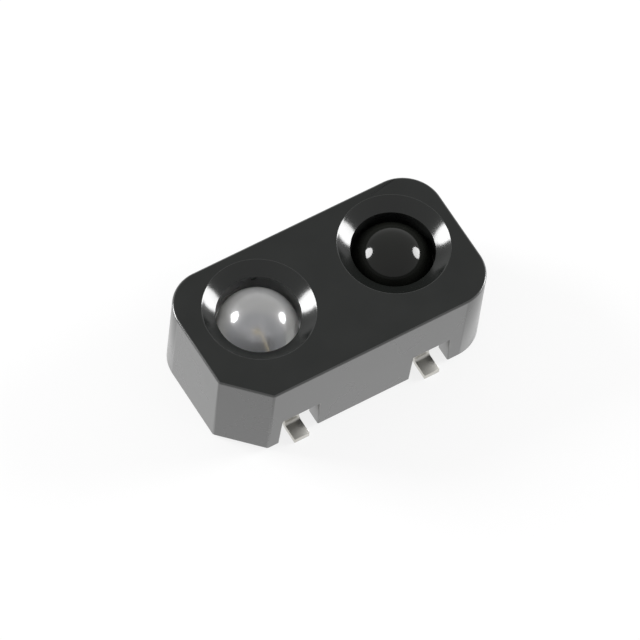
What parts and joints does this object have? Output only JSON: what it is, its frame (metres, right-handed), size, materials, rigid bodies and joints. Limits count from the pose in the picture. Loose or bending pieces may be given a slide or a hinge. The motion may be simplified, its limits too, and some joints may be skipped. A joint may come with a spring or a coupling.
{
  "type": "reflective optical sensor",
  "caption": "Surface-mount reflective optical sensor: infrared emitter and phototransistor with dome lenses, side by side in one black housing with a polished well round each lens.",
  "frame": {"origin": "middle of the footprint, on the plane that the four solder feet stand on", "axes": "+X from the emitter to the detector, along the longest side; +Z the way the lenses look; -Y the side with the chamfered corner"},
  "size_m": [0.007, 0.004, 0.0025],
  "materials": {
    "housing_plastic": "satin black moulding, polished in the wells",
    "clear_epoxy": "clear, polished dome",
    "infrared_epoxy": "near-black infrared-pass epoxy, polished dome",
    "lead_plating": "satin tin and silver plating",
    "emitter_semiconductor": "polished wafer",
    "detector_semiconductor": "polished wafer",
    "silver_adhesive": "silver-filled epoxy",
    "gold_wire": "drawn gold wire"
  },
  "bodies": {
    "root": {"housing": "housing_plastic", "emitter_lens": "clear_epoxy", "detector_lens": "infrared_epoxy", "emitter_cathode_lead": "lead_plating", "emitter_anode_lead": "lead_plating", "detector_collector_lead": "lead_plating", "detector_emitter_lead": "lead_plating", "emitter_chip_die": "emitter_semiconductor", "detector_chip_die": "detector_semiconductor", "emitter_die_bond": "silver_adhesive", "detector_die_bond": "silver_adhesive", "emitter_bond_wire": "gold_wire", "detector_bond_wire": "gold_wire"}
  },
  "joints": []
}
